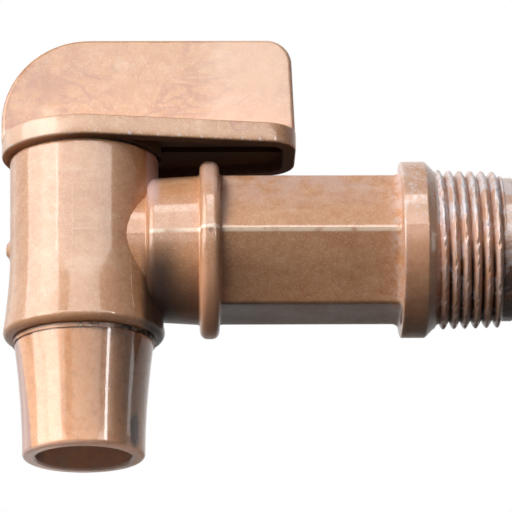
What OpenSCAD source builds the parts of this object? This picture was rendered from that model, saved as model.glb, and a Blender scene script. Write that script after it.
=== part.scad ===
// Quarter-turn barrel tap, moulded in copper-coloured polyethylene.
// Origin: on the inlet axis, where the male pipe thread leaves the collar.
// +X runs out of the thread into the drum, +Z runs up the valve's axis.

/* [Barrel] */
// Height of the barrel, centred on the inlet axis
barrel_h = 31.4; // [30:0.2:38]
// Outer radius at the barrel's top edge
barrel_top_r = 12.5; // [12.1:0.1:14]
// Outer radius at the barrel's waist
barrel_waist_r = 12.4; // [12:0.1:14]
// Distance of the waist below the inlet axis
waist_drop = 2; // [0:0.5:6]
// Outer radius at the barrel's foot
barrel_foot_r = 13.5; // [12.9:0.1:15]
// How the side flares to the foot: 1 is a straight cone, more keeps the flare low
flare_curve = 1.6; // [1:0.1:2.5]
// Radius of the barrel's rolled lower edge
foot_round = 1.3; // [0.6:0.1:1.8]
// Radius of the small round on the barrel's top edge
top_round = 0.4; // [0.2:0.1:0.8]
// Radius of the tapered seat at the barrel's foot
seat_foot_r = 9.8; // [9.6:0.1:10.4]
// Half angle of the seat's taper, in degrees
seat_taper = 1.8; // [1:0.1:2.5]
// Radius of the gate mark on the side away from the inlet
gate_r = 1.2; // [0.6:0.1:2]
// How far the gate mark stands out
gate_h = 0.7; // [0.3:0.1:1.2]

/* [Inlet tube] */
// Distance from the valve's axis to the start of the thread
reach = 58.4; // [50:0.2:80]
// Radius of the neck that joins the boss to the barrel
neck_r = 10.1; // [9:0.1:10.8]
// Distance from the valve's axis to the boss's rounded end
boss_start = 10.5; // [10:0.1:11.5]
// Radius of the boss beside the flange ring
boss_r = 12.6; // [12:0.1:13.5]
// Radius that the boss loses to mould draft, towards the barrel
boss_draft = 0.5; // [0.1:0.1:1]
// Radius of the boss's rounded end
boss_round = 1.5; // [0.5:0.1:1.8]
// Distance from the valve's axis to the middle of the flange ring
ring_x = 21; // [19:0.1:26]
// Width of the flange ring
ring_w = 3.3; // [2.8:0.1:5]
// Radius of the flange ring
ring_r = 14.9; // [14:0.1:16]
// Width across the flats of the hexagonal tube
hex_flats = 22.4; // [20:0.1:24]
// Radius on the corners of the hexagonal tube
hex_round = 0.8; // [0.3:0.1:1.5]
// Width of the collar behind the thread
collar_w = 5.5; // [3.5:0.1:8]
// Radius of the collar
collar_r = 14.8; // [13.9:0.1:16]
// Small round on the collar's edge
collar_round = 0.5; // [0.2:0.1:0.8]
// Size of the bevel that runs from the hexagon up the collar
collar_fillet = 1.6; // [0.5:0.1:2.5]
// Radius of the bore through the tube
inlet_bore_r = 8.2; // [7:0.1:9]

/* [Inlet thread] */
// Length of the threaded nipple
thread_len = 13.4; // [10:0.1:18]
// Crest radius at the nipple's small end
thread_end_r = 13; // [12.6:0.1:13.4]
// The thread's taper: diameter changes by one part in this many
taper_ratio = 16; // [12:1:20]
// Threads to the inch
threads_per_inch = 14; // [11.5:0.5:18]
// Depth of the thread from crest to root
thread_depth = 1.35; // [0.8:0.05:1.4]
// Width of the thread's crest
crest_w = 0.25; // [0.1:0.05:0.4]
// Distance past the collar of the first crest, at the top of the pipe
first_crest = 0.8; // [0:0.1:1.8]
// Length of the plain lead at the nipple's end
lead_len = 1.6; // [0.5:0.1:2]
// How far the plain lead lies below the crests
lead_drop = 1; // [0.6:0.1:1.3]

/* [Plug and spout] */
// Radial clearance between the plug and its seat
plug_gap = 0.06; // [0.02:0.01:0.09]
// How far the plug's top lies below the barrel's top
plug_drop = 0.8; // [0.4:0.1:1.5]
// Radius of the waterway up the middle of the plug
waterway_r = 7.3; // [6:0.1:7.4]
// Radius of the port through the plug and through the barrel's wall
port_r = 5.5; // [4.5:0.1:6]
// Length of the spout below the barrel
spout_len = 20.2; // [14:0.2:30]
// Radius of the spout under its ledge
spout_top_r = 11.6; // [11:0.1:11.8]
// Radius of the spout at its tip
spout_tip_r = 10.2; // [9.6:0.1:10.8]
// How strongly the spout's side curves in: 1 is a straight cone
spout_curve = 1.8; // [1:0.1:2.5]
// Radius of the spout's bore
spout_bore_r = 8; // [7.4:0.1:8.6]
// Length of the straight bore, from the tip
spout_bore_len = 16; // [10:0.5:17]
// Radius of the round on the tip's outer edge
tip_round = 0.7; // [0.3:0.1:1]
// Radius of the thin ledge that closes the barrel's foot
ledge_r = 11.9; // [11.8:0.1:12.2]
// Thickness of that ledge
ledge_h = 0.8; // [0.5:0.1:1.2]

/* [Quarter-turn stop] */
// Angle between closed and open, in degrees
turn = 90; // [80:1:100]
// Width of the stop lug, in degrees round the plug
lug_angle = 16; // [10:1:24]
// How far the lug stands out of the plug
lug_out = 0.9; // [0.6:0.1:1.2]
// Height of the lug
lug_h = 2; // [1.2:0.1:2.4]
// Clearance round the lug in its notch
lug_gap = 0.15; // [0.1:0.05:0.3]

/* [Seals and washer] */
// Width of a seal ring along the plug, squeezed
seal_w = 1.7; // [1.4:0.1:2]
// Depth of a seal ring across its groove, squeezed
seal_d = 1.25; // [1:0.05:1.4]
// Distance of each seal ring from the inlet axis
seal_z = 11.3; // [10.5:0.1:12]
// Clearance of a seal ring in its groove
seal_gap = 0.04; // [0.02:0.01:0.1]
// Thickness of the thrust washer
washer_h = 0.8; // [0.6:0.1:1.2]
// Depth of the washer's recess in the barrel's top
washer_sink = 0.5; // [0.3:0.1:0.7]
// Outer radius of the thrust washer
washer_r = 11.5; // [11:0.1:11.8]
// Clearance round the washer, and under the handle
washer_gap = 0.05; // [0.03:0.01:0.1]

/* [Handle] */
// Radius of the handle's round end, over the barrel
disc_r = 13.9; // [13:0.1:15]
// Distance from the valve's axis to the handle's free end
handle_reach = 35.6; // [30:0.2:50]
// Thickness of the handle's plate
plate_h = 3.6; // [3:0.1:5]
// Half the width of the plate at its free end
plate_end_half = 9.3; // [6:0.1:10]
// Radius of the plate's corners at its free end
plate_corner_r = 5.4; // [4:0.1:6]
// Radius of the plate's rounded lower edge
plate_round = 0.5; // [0.3:0.1:1.5]
// Depth of the tray hollowed out under the plate
tray_h = 1.8; // [0.5:0.1:2.2]
// Width of the rim round that tray
tray_rim = 2.1; // [1.5:0.1:3]
// Height of the finger grip above the plate
fin_h = 17; // [14:0.2:24]
// Thickness of the finger grip at its foot
fin_foot_w = 6.2; // [5.6:0.1:8]
// Thickness of the finger grip at its top
fin_top_w = 5.2; // [5:0.1:7]
// Radius of the grip's large rounded corner
fin_back_r = 14.8; // [12:0.1:16]
// Radius of the grip's small rounded corner
fin_nose_r = 4.3; // [3:0.1:7]
// Radius on the grip's edges
fin_round = 0.8; // [0.4:0.1:1.2]
// Radius of the fillet between the grip's foot and the plate
fin_fillet = 0.8; // [0.4:0.1:1]
// Width of the slot that cores out the grip
core_w = 2.8; // [2:0.1:3]
// Wall left round that slot
core_wall = 2.4; // [1.8:0.1:3.5]

/* [Snap tang] */
// Half the width of the plug's tang
tang_half = 7; // [6:0.1:7.5]
// Thickness of the tang
tang_w = 2.8; // [2:0.1:3]
// Height of the tang above the plug
tang_h = 11.5; // [10:0.1:12]
// Width of the slit between the tang's two prongs
slit_w = 2; // [1.5:0.1:3]
// How far each snap barb stands out
barb_out = 0.5; // [0.3:0.1:0.7]
// Height of each snap barb
barb_h = 2.4; // [2:0.1:3]
// Clearance of the tang in the handle
tang_gap = 0.1; // [0.05:0.01:0.2]

/* [Hidden] */
$fn = 96;
// Segments of the turned corners that a hull joins
hull_fn = 64;
// Overlap that lets two solids join
eps = 0.01;
// How far a cutting solid runs past the face that it opens
past = 1;
// Thickness of the slices that a hull starts from
slice = 0.1;
// Segments in a quarter-round edge, on large and on small ones
round_steps = 5;
small_steps = 3;
// Segments down the spout's curved side and the barrel's flare
spout_steps = 14;
flare_steps = 8;

foot_z = -barrel_h / 2;
top_z = barrel_h / 2;

// Flange ring, hexagon and collar, as distances from the valve's axis
ring_x0 = ring_x - ring_w / 2;
ring_x1 = ring_x + ring_w / 2;
collar_x0 = reach - collar_w;
// The ring's rounded rim, and the draft on its faces
ring_edge_r = ring_w * 0.4;
ring_slope = 0.15;
hex_r = hex_flats / 2;

// The nipple's crest radius where it leaves the collar
thread_start_r = thread_end_r + thread_len / taper_ratio / 2;
collar_bevel = collar_r - thread_start_r;
pitch = 25.4 / threads_per_inch;
// Segments round one turn of the thread
thread_steps = 48;
// Rows of points across one pitch: root, root, crest, crest
thread_rows = 4;
// Width of the thread's root
root_w = 0.15;
// Turns of thread that start hidden inside the collar
hidden_turns = 2;
thread_turns = ceil(thread_len / pitch) + hidden_turns + 1;

// Gap between the barrel's foot and the ledge
foot_gap = 0.05;
ledge_z = foot_z - foot_gap;
spout_z = ledge_z - ledge_h;
tip_z = foot_z - spout_len;
// Bevel on the bore's edge, at the spout's tip
bore_edge = 0.3;
plug_top_z = top_z - plug_drop;
// Bevel on the plug's top edge
plug_edge = 0.4;
// Wall between the waterway's roof and the upper seal's groove
plug_roof = 1.4;
waterway_top_z = seal_z - seal_w / 2 - plug_roof;
// Height of the cone that leads from the bore into the waterway
waterway_cone = 2.5;
// How far the stop lug and its notch reach into the plug's side
lug_root = 1.5;
// Radius on a squeezed seal ring's corners
seal_edge = 0.35;

washer_z = top_z - washer_sink;
handle_z = washer_z + washer_h + washer_gap;
plate_top_z = handle_z + plate_h;
fin_top_z = plate_top_z + fin_h;
// How deep the grip's foot is sunk in the plate
grip_sink = 0.5;
// How far the hub under the plate reaches past the barrel's top edge
hub_margin = 0.5;

tang_top_z = plug_top_z + tang_h;
// Height of the tang's bevelled tip above its barbs
tang_tip = 1.2;
barb_top_z = tang_top_z - tang_tip;
// Height above the plug at which the slit starts
slit_start = 2.5;
slit_z = plug_top_z + slit_start;

// Radius of the tapered seat at a height
function seat_r(z) = seat_foot_r - (z - foot_z) * tan(seat_taper);

// Radius of the plug at a height
function plug_r(z) = seat_r(z) - plug_gap;

// Points on an arc about a centre, from one angle to another
function arc(centre, r, from, to, steps = round_steps) =
    [for (i = [0:steps]) let (a = from + (to - from) * i / steps) centre + r * [cos(a), sin(a)]];

// Corners of a regular hexagon with rounded corners, its flats at top and bottom
function rounded_hex(flat_r, round) =
    [for (k = [0:5]) each arc((flat_r - round) / cos(30) * [cos(60 * k), sin(60 * k)],
                              round, 60 * k - 30, 60 * k + 30, 4)];

// Turns a profile of [distance along X, radius] about the inlet axis
module turned_on_inlet(profile) {
    rotate([90, 0, 90])
        rotate([0, 0, 90])
            rotate_extrude()
                polygon([for (p = profile) [p[1], p[0]]]);
}

// The barrel's side from the top of its rolled edge up to the waist
function barrel_flare() =
    [for (i = [1:flare_steps])
        let (t = i / flare_steps,
             z0 = foot_z + foot_round)
        [barrel_waist_r + (barrel_foot_r - barrel_waist_r) * pow(1 - t, flare_curve),
         z0 + (-waist_drop - z0) * t]];

// The barrel's outside: waisted, flared to the foot, with its lower edge rolled in
module barrel_outside() {
    rotate_extrude()
        polygon(concat(
            [[0, foot_z]],
            arc([barrel_foot_r - foot_round, foot_z + foot_round], foot_round, -90, 0),
            barrel_flare(),
            arc([barrel_top_r - top_round, top_z - top_round], top_round, 0, 90, small_steps),
            [[0, top_z]]));
}

// Neck, boss, flange ring, collar and nipple, all turned about the inlet axis
module inlet_turned() {
    boss_end_r = boss_r - boss_draft;
    turned_on_inlet([[0, 0], [0, neck_r], [ring_x, neck_r], [ring_x, 0]]);
    turned_on_inlet(concat(
        [[boss_start, 0]],
        arc([boss_start + boss_round, boss_end_r - boss_round], boss_round, 180, 90),
        [[ring_x, boss_r], [ring_x, 0]]));
    turned_on_inlet(concat(
        [[ring_x0, 0], [ring_x0, boss_r]],
        arc([ring_x0 + ring_slope + ring_edge_r, ring_r - ring_edge_r], ring_edge_r, 180, 90),
        arc([ring_x1 - ring_slope - ring_edge_r, ring_r - ring_edge_r], ring_edge_r, 90, 0),
        [[ring_x1, boss_r], [ring_x1, 0]]));
    turned_on_inlet(concat(
        [[collar_x0 - collar_fillet, 0], [collar_x0 - collar_fillet, hex_r - eps]],
        [[collar_x0, hex_r + collar_fillet]],
        arc([collar_x0 + collar_round, collar_r - collar_round], collar_round, 180, 90, small_steps),
        [[reach - collar_bevel, collar_r]],
        [[reach + thread_depth, thread_start_r - thread_depth], [reach + thread_depth, 0]]));
}

// Radius of the thread's root at a distance past the collar
function root_r(x) = thread_start_r - thread_depth - x / taper_ratio / 2;

// How much of the thread is left at a distance past the collar: none on the lead
function thread_share(x) = min(1, max(0, (thread_len - lead_len - x) / pitch));

// A point of the thread's surface, by row along the pipe and step round it
function thread_point(row, n) = let (
        flank = (pitch - crest_w - root_w) / 2,
        part = row % thread_rows,
        across = part == 0 ? 0 : part == 1 ? root_w : part == 2 ? root_w + flank : root_w + flank + crest_w,
        start = first_crest - pitch / 4 - (root_w + flank + crest_w / 2),
        x = (floor(row / thread_rows) - hidden_turns + n / thread_steps) * pitch + start + across,
        share = thread_share(x),
        r = root_r(x) + (part < 2 ? 0 : thread_depth * share) + (thread_depth - lead_drop) * (1 - share),
        a = 360 * n / thread_steps)
    [x, r * cos(a), r * sin(a)];

// Index of that point: the last step of a row is the first step of the row one turn on
function thread_index(row, n, last) = n == thread_steps ? thread_index(row + thread_rows, 0, last)
    : row <= last ? row * thread_steps + n : last * thread_steps + thread_steps + row - last - 1;

// The nipple's right-hand thread, one helical surface closed at both ends on the axis
module threaded_nipple() {
    last = thread_rows * (thread_turns - 1);
    points = concat(
        [for (row = [0:last]) for (n = [0:thread_steps - 1]) thread_point(row, n)],
        [for (row = [last + 1:last + thread_rows]) thread_point(row, 0)],
        [[(0.5 - hidden_turns) * pitch, 0, 0], [(thread_turns - 0.5 - hidden_turns) * pitch, 0, 0]]);
    tail = len(points) - 2;
    head = len(points) - 1;
    function at(row, n) = thread_index(row, n, last);
    start_edge = concat([for (n = [0:thread_steps]) at(0, n)], [for (row = [3:-1:1]) at(row, 0)]);
    end_edge = concat([for (n = [0:thread_steps]) at(last, n)],
                      [for (row = [last + 3:-1:last + 1]) at(row, 0)]);
    faces = concat(
        [for (row = [0:last - 1]) for (n = [0:thread_steps - 1])
            each [[at(row, n), at(row + 1, n), at(row + 1, n + 1)],
                  [at(row, n), at(row + 1, n + 1), at(row, n + 1)]]],
        [for (i = [0:len(start_edge) - 1]) [start_edge[i], start_edge[(i + 1) % len(start_edge)], tail]],
        [for (i = [0:len(end_edge) - 1]) [end_edge[(i + 1) % len(end_edge)], end_edge[i], head]]);
    translate([reach, 0, 0])
        difference() {
            polyhedron(points, faces);
            translate([thread_len, -ring_r, -ring_r])
                cube([thread_turns * pitch, 2 * ring_r, 2 * ring_r]);
        }
}

// The hexagonal tube that takes a spanner, from the flange ring to the collar
module hex_tube() {
    translate([ring_x, 0, 0])
        rotate([90, 0, 90])
            linear_extrude(height = collar_x0 - ring_x + eps)
                polygon(rounded_hex(hex_r, hex_round));
}

// The mark left where the mould was filled, on the inlet axis
module gate_mark() {
    translate([-barrel_waist_r - gate_h, 0, 0])
        rotate([0, 90, 0])
            cylinder(h = gate_h + past, r = gate_r);
}

// The tapered seat for the plug, with the washer's recess above it
module plug_seat() {
    rotate_extrude()
        polygon([
            [0, foot_z - past], [seat_r(foot_z - past), foot_z - past],
            [seat_r(washer_z), washer_z],
            [washer_r + washer_gap, washer_z], [washer_r + washer_gap, top_z + past],
            [0, top_z + past]]);
}

// A wedge of a ring about the valve's axis, between two angles
module ring_wedge(inner_r, outer_r, z0, z1, from, to) {
    rotate([0, 0, from])
        rotate_extrude(angle = to - from)
            translate([inner_r, z0])
                square([outer_r - inner_r, z1 - z0]);
}

// The notch in the barrel's foot that lets the stop lug swing through its turn
module stop_notch() {
    slack = lug_gap / plug_r(foot_z) * 180 / PI;
    ring_wedge(seat_r(foot_z) - lug_root, plug_r(foot_z) + lug_out + lug_gap,
               foot_z - past, foot_z + lug_h + lug_gap,
               180 - lug_angle / 2 - slack, 180 + lug_angle / 2 + turn + slack);
}

// One moulding: barrel, boss, flange ring, hexagonal tube, collar and nipple
module tap_body() {
    color("peru")
        translate([-reach, 0, 0])
            difference() {
                union() {
                    barrel_outside();
                    inlet_turned();
                    hex_tube();
                    threaded_nipple();
                    gate_mark();
                }
                plug_seat();
                stop_notch();
                translate([barrel_waist_r, 0, 0])
                    rotate([0, 90, 0])
                        cylinder(h = reach + thread_len, r = inlet_bore_r);
                rotate([0, 90, 0])
                    cylinder(h = barrel_waist_r + past, r = port_r);
            }
}

// The groove for a seal ring, as two corners on the plug's side and two at its root
function seal_groove(z) = let (z0 = z - seal_w / 2 - seal_gap, z1 = z + seal_w / 2 + seal_gap)
    [[plug_r(z0), z0], [groove_r(z), z0], [groove_r(z), z1], [plug_r(z1), z1]];

// Radius at the root of a seal groove
function groove_r(z) = seat_r(z) - plug_gap - seal_d - seal_gap;

// Outside of the spout, from its tip up to the ledge
function spout_side() =
    [for (i = [1:spout_steps])
        let (t = i / spout_steps,
             z0 = tip_z + tip_round)
        [spout_tip_r + (spout_top_r - spout_tip_r) * pow(t, spout_curve), z0 + (spout_z - z0) * t]];

// Plug, ledge and spout turned in one, with the waterway up the middle
module plug_turned() {
    bore_top_z = tip_z + spout_bore_len;
    rotate_extrude()
        polygon(concat(
            [[spout_bore_r, bore_top_z], [spout_bore_r, tip_z + bore_edge]],
            [[spout_bore_r + bore_edge, tip_z]],
            arc([spout_tip_r - tip_round, tip_z + tip_round], tip_round, -90, 0),
            spout_side(),
            [[ledge_r, spout_z], [ledge_r, ledge_z], [plug_r(ledge_z), ledge_z]],
            seal_groove(-seal_z),
            seal_groove(seal_z),
            [[plug_r(plug_top_z - plug_edge), plug_top_z - plug_edge]],
            [[plug_r(plug_top_z) - plug_edge, plug_top_z], [0, plug_top_z]],
            [[0, waterway_top_z], [waterway_r, waterway_top_z]],
            [[waterway_r, bore_top_z + waterway_cone]]));
}

// Outline of the tang from the front: two prongs with outward barbs, grown by a clearance
function tang_outline(grow) = let (
        x = tang_half + grow,
        bx = x + barb_out,
        b0 = barb_top_z - barb_h - grow,
        b1 = barb_top_z + grow,
        t = tang_top_z + grow)
    [[x, plug_top_z - past], [x, b0], [bx, b0 + barb_out], [bx, b1 - barb_out * 2], [x - barb_out, t],
     [barb_out - x, t], [-bx, b1 - barb_out * 2], [-bx, b0 + barb_out], [-x, b0], [-x, plug_top_z - past]];

// The tang's solid, or its pocket when it is grown
module tang(grow) {
    rotate([90, 0, 0])
        linear_extrude(height = tang_w + 2 * grow, center = true)
            polygon(tang_outline(grow));
}

// One moulding: spout, ledge, tapered plug, stop lug and snap tang
module spout_plug() {
    color("sandybrown")
        translate([-reach, 0, 0])
            difference() {
                union() {
                    plug_turned();
                    tang(0);
                    ring_wedge(plug_r(foot_z) - lug_root, plug_r(foot_z) + lug_out,
                               ledge_z - ledge_h / 2, foot_z + lug_h,
                               180 - lug_angle / 2, 180 + lug_angle / 2);
                }
                rotate([90, 0, 0])
                    cylinder(h = seat_foot_r + past, r = port_r);
                translate([-slit_w / 2, -tang_w, slit_z])
                    cube([slit_w, tang_w * 2, tang_h]);
            }
}

// A disc with its lower edge rounded
module rounded_disc(r) {
    rotate_extrude($fn = hull_fn)
        polygon(concat(
            [[0, 0]],
            arc([r - plate_round, plate_round], plate_round, -90, 0),
            [[r, plate_h], [0, plate_h]]));
}

// The plate over the barrel, narrowing towards its free end
module handle_plate() {
    hull() {
        rounded_disc(disc_r);
        for (side = [-1, 1])
            translate([handle_reach - plate_corner_r, side * (plate_end_half - plate_corner_r), 0])
                rounded_disc(plate_corner_r);
    }
}

// Outline of the plate, drawn in by a distance: three circles and the tangents between them
module plate_outline(inset) {
    x = handle_reach - plate_corner_r;
    y = plate_end_half - plate_corner_r;
    a = atan2(y, x) + acos((disc_r - plate_corner_r) / norm([x, y]));
    side = [cos(a), sin(a)];
    circle(r = disc_r - inset);
    for (end = [-1, 1])
        translate([x, end * y])
            circle(r = plate_corner_r - inset);
    upper = [(disc_r - inset) * side, [x, y] + (plate_corner_r - inset) * side,
             [handle_reach - inset, y]];
    polygon(concat(upper, [for (i = [2:-1:0]) [upper[i][0], -upper[i][1]]]));
}

// The hollow under the plate, inside its rim and outside the hub that bears on the washer
module plate_tray() {
    difference() {
        linear_extrude(height = tray_h + past)
            plate_outline(tray_rim);
        cylinder(h = tray_h + past, r = barrel_top_r + hub_margin);
    }
}

// A coin standing on edge, its rims rounded, for the corners of the grip
module grip_coin(r, w) {
    rotate([90, 0, 0])
        rotate_extrude($fn = hull_fn)
            polygon(concat(
                [[0, -w / 2]],
                arc([r - fin_round, fin_round - w / 2], fin_round, -90, 0),
                arc([r - fin_round, w / 2 - fin_round], fin_round, 0, 90),
                [[0, w / 2]]));
}

// The finger grip: a flat fin with one large and one small rounded corner
module finger_grip() {
    foot_len = disc_r + handle_reach;
    grip_z = plate_top_z - grip_sink;
    intersection() {
        hull() {
            translate([fin_back_r - disc_r, 0, fin_top_z - fin_back_r])
                grip_coin(fin_back_r, fin_top_w);
            translate([handle_reach - fin_nose_r, 0, fin_top_z - fin_nose_r])
                grip_coin(fin_nose_r, fin_top_w);
            translate([-disc_r, -fin_foot_w / 2 + fin_round, grip_z])
                cube([foot_len, fin_foot_w - 2 * fin_round, slice]);
            translate([fin_round - disc_r, -fin_foot_w / 2, grip_z])
                cube([foot_len - 2 * fin_round, fin_foot_w, slice]);
        }
        translate([-disc_r - past, -fin_foot_w, grip_z])
            cube([foot_len + 2 * past, 2 * fin_foot_w, fin_h + grip_sink]);
    }
}

// The fillets along both sides of the grip's foot, ending short of the plate's edge
module grip_fillets() {
    half = fin_foot_w / 2;
    intersection() {
        translate([-disc_r, 0, plate_top_z])
            rotate([90, 0, 90])
                linear_extrude(height = disc_r + handle_reach)
                    for (side = [0, 1])
                        mirror([side, 0])
                            polygon(concat(
                                arc([half + fin_fillet, fin_fillet], fin_fillet, 180, 270),
                                [[half + fin_fillet, -grip_sink], [0, -grip_sink], [0, fin_fillet]]));
        translate([0, 0, plate_top_z - grip_sink])
            linear_extrude(height = fin_fillet + 2 * grip_sink)
                plate_outline(plate_round);
    }
}

// One moulding: plate, finger grip, the tang's pocket and the slot that cores the grip
module handle() {
    core_x0 = tang_half + barb_out + core_wall;
    core_x1 = handle_reach - core_wall;
    color("burlywood")
        translate([-reach, 0, 0])
            difference() {
                union() {
                    translate([0, 0, handle_z])
                        handle_plate();
                    finger_grip();
                    grip_fillets();
                }
                tang(tang_gap);
                translate([0, 0, handle_z - past])
                    plate_tray();
                translate([core_x0, -core_w / 2, handle_z - past])
                    cube([core_x1 - core_x0, core_w, fin_top_z - handle_z - core_wall + past]);
            }
}

// A flat ring that the handle turns on
module thrust_washer() {
    color("linen")
        translate([-reach, 0, washer_z])
            difference() {
                cylinder(h = washer_h, r = washer_r);
                translate([0, 0, -past])
                    cylinder(h = washer_h + 2 * past, r = seat_r(washer_z) + washer_gap);
            }
}

// A rubber ring as it lies squeezed in its groove
module seal_ring(z) {
    half_w = seal_w / 2;
    inner_r = groove_r(z) + seal_gap / 2;
    outer_r = seat_r(z + half_w) - plug_gap / 2;
    color("dimgray")
        translate([-reach, 0, z])
            rotate_extrude()
                polygon(concat(
                    arc([outer_r - seal_edge, half_w - seal_edge], seal_edge, 0, 90, small_steps),
                    arc([inner_r + seal_edge, half_w - seal_edge], seal_edge, 90, 180, small_steps),
                    arc([inner_r + seal_edge, seal_edge - half_w], seal_edge, 180, 270, small_steps),
                    arc([outer_r - seal_edge, seal_edge - half_w], seal_edge, 270, 360, small_steps)));
}

tap_body();
spout_plug();
handle();
thrust_washer();
seal_ring(seal_z);  // upper_seal_ring
seal_ring(-seal_z);  // lower_seal_ring
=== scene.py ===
import math

import bmesh
import bpy
import numpy as np
from mathutils import Matrix, Vector


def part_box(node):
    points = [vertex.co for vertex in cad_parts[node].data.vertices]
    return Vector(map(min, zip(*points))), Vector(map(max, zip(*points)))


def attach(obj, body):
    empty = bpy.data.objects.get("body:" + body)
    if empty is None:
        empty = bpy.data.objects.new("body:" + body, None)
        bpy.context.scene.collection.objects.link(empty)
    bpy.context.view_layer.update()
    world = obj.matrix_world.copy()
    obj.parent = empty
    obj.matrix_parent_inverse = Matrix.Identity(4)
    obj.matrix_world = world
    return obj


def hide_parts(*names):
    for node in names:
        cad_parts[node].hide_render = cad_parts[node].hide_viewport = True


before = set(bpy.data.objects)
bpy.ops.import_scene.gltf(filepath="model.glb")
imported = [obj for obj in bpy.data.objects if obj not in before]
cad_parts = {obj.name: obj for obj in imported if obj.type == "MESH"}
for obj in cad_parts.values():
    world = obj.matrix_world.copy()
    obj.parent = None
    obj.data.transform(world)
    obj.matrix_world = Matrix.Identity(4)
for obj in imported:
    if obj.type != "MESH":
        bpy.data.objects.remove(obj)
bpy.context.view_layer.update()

# View
# A long lens a little below the tap looks up at it, as the photograph's does. The angles, the
# distance and the aim were fitted to the tap's whole outline.
CAMERA_AZIMUTH = math.radians(-1.5)
CAMERA_ELEVATION = math.radians(-17.1)
CAMERA_ROLL = math.radians(-0.6)
CAMERA_DISTANCE = 0.705
FRAME_PIXELS = 512
METRES_PER_PIXEL = 0.0001677
SENSOR = 36.0
NEAR_CLIP = 0.05
FAR_CLIP = 20.0
AIM = Vector((-0.0296, 0.0, -0.0010))


def outward(azimuth, elevation):
    """The way out from the tap at an azimuth a, counted from the front towards the thread, and an
    elevation e: (sin a cos e, -cos a cos e, sin e)."""
    return Vector((math.sin(azimuth) * math.cos(elevation),
                   -math.cos(azimuth) * math.cos(elevation),
                   math.sin(elevation)))


back = outward(CAMERA_AZIMUTH, CAMERA_ELEVATION)
camera = bpy.data.objects.new("camera", bpy.data.cameras.new("camera"))
camera.data.sensor_width = SENSOR
camera.data.lens = SENSOR * CAMERA_DISTANCE / METRES_PER_PIXEL / FRAME_PIXELS
camera.data.clip_start = NEAR_CLIP
camera.data.clip_end = FAR_CLIP
camera.rotation_mode = "QUATERNION"
roll = Matrix.Rotation(CAMERA_ROLL, 3, back)
camera.rotation_quaternion = (roll @ (-back).to_track_quat("-Z", "Y").to_matrix()).to_quaternion()
camera.location = AIM + back * CAMERA_DISTANCE
bpy.context.scene.collection.objects.link(camera)
bpy.context.scene.camera = camera
bpy.context.scene.view_settings.view_transform = "Standard"

# Tap body
# Barrel, boss, flange ring, spanner hexagon, collar and male taper thread are one moulding in
# copper-pigmented polyethylene. A two-part mould closes on the inlet axis and leaves a thin ridge.

# Sizes are in millimetres. The origin is on the inlet axis, at the collar's outer face.
MM = 0.001
_, body_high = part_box("tap_body")
plug_low, plug_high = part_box("spout_plug")
VALVE_X = (plug_low.x + plug_high.x) / 2 / MM
REACH = -VALVE_X
THREAD_END = body_high.x / MM

# Barrel
BARREL_TOP = 15.7
BARREL_FOOT = -15.7
BARREL_TOP_R = 12.5
BARREL_WAIST_R = 12.4
BARREL_FOOT_R = 13.5
WAIST_Z = -2.0
FLARE_POWER = 1.6
FOOT_ROUND = 1.3
TOP_ROUND = 0.5
GATE_R = 1.3
GATE_HEIGHT = 0.65

# Seat, washer's recess, stop notch, port and bore
SEAT_R = 9.8
SEAT_TAPER = math.tan(math.radians(1.8))
WASHER_Z = BARREL_TOP - 0.5
WASHER_HOLE_R = 11.55
NOTCH_IN = 8.3
NOTCH_OUT = 10.8
NOTCH_LOW = -16.7
NOTCH_HIGH = -13.55
NOTCH_START = 171.1
NOTCH_END = 278.9
PORT_R = 5.5
BORE_R = 8.2
BORE_CHAMFER = 0.3
SPARE = 1.0

# Inlet, with places counted from the valve's axis
NECK_R = 10.1
NECK_FILLET = 0.3
BOSS_START = 10.5
BOSS_ROUND = 1.5
BOSS_R = 12.6
BOSS_DRAFT = 0.5
RING_X = 21.0
RING_W = 3.3
RING_R = 14.9
RING_EDGE = 1.32
RING_FOOT = 0.4
RING_FILLET = 0.5
HEX_R = 11.2
HEX_ROUND = 0.8
HEX_CROWN = 0.4
COLLAR_W = 5.5
COLLAR_R = 14.8
COLLAR_ROUND = 0.4
COLLAR_FILLET = 1.2
COLLAR_LIP = 0.5
RIDGE = 0.07
RIDGE_W = 0.16
RIDGE_END = REACH - 0.5

# Thread, with places counted from the collar's outer face
PITCH = 25.4 / 14
THREAD_DEPTH = 1.35
THREAD_END_R = 13.05
TAPER = 1 / 32
CREST_AT = 0.8
CREST_SHAPE = 1.7
CREST_WEAR = 0.14
LEAD = 2.3
LEAD_R = THREAD_END_R - 1.0
LEAD_FADE = 0.5
LEAD_ROUND = 0.35
BEVEL_START = -1.4

# How finely the surfaces are drawn
BODY_COLUMNS = 224
THREAD_ROWS = 150
ROUND_COLUMNS = 128
MERGE_WITHIN = 1e-7
CREASE = 30.0

# Surfaces are grids of points worked out with numpy: rows run along the piece and columns run
# round it.


def skin(name, rows, body=None):
    """A closed mesh from rows of points, shaped (rows, columns, 3): each row is a closed ring, and
    the first and last rows are single points, which are merged into poles."""
    count, columns = rows.shape[:2]
    first = (np.arange(count - 1)[:, None] * columns + np.arange(columns)[None, :]).ravel()
    step = np.where(np.arange(columns) == columns - 1, 1 - columns, 1)
    second = first + np.tile(step, count - 1)
    faces = np.stack([first, second, second + columns, first + columns], axis=1)
    mesh = bpy.data.meshes.new(name)
    mesh.from_pydata(rows.reshape(-1, 3) * MM, [], faces)
    shape = bmesh.new()
    shape.from_mesh(mesh)
    bmesh.ops.remove_doubles(shape, verts=shape.verts, dist=MERGE_WITHIN)
    bmesh.ops.recalc_face_normals(shape, faces=shape.faces)
    shape.to_mesh(mesh)
    shape.free()
    piece = bpy.data.objects.new(name, mesh)
    bpy.context.scene.collection.objects.link(piece)
    if body:
        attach(piece, body)
    return piece


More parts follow.
